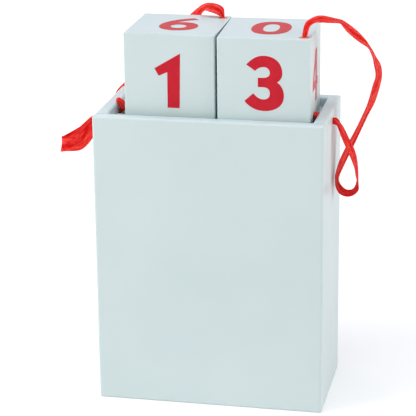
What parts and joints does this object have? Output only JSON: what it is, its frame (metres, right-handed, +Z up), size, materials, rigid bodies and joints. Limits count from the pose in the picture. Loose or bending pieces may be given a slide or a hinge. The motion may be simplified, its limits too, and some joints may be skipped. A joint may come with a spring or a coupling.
{
  "type": "block calendar",
  "caption": "Painted wooden countdown calendar: a tall box with a shallow tray in its top, where loose number cubes stand, each tethered to a side wall by a satin ribbon.",
  "frame": {"origin": "middle of the base, on the surface that the box stands on", "axes": "+Z up, +Y toward the rear, +X to the right as seen from the front"},
  "size_m": [0.1457, 0.0639, 0.1773],
  "materials": {
    "paint": "semi-gloss pale blue paint",
    "bare_wood": "bare wood",
    "satin": "red satin ribbon"
  },
  "bodies": {
    "box": {"front_panel": "paint", "rear_panel": "paint", "left_panel": "paint", "right_panel": "paint", "bottom_panel": "bare_wood", "tray_board": "paint", "front_cleat": "bare_wood", "rear_cleat": "bare_wood", "left_ribbon": "satin", "right_ribbon": "satin", "left_wall_knot": "satin", "right_wall_knot": "satin"},
    "left_number": {"left_cube": "paint", "left_cube_stopper": "satin"},
    "right_number": {"right_cube": "paint", "right_cube_stopper": "satin"}
  },
  "joints": [
    {"name": "left_cube_lift", "type": "slide", "parent": "box", "child": "left_number", "axis": [0, 0, 1], "range_m": [0, 0.09], "deforming": ["left_ribbon"]},
    {"name": "right_cube_lift", "type": "slide", "parent": "box", "child": "right_number", "axis": [0, 0, 1], "range_m": [0, 0.09], "deforming": ["right_ribbon"]}
  ]
}
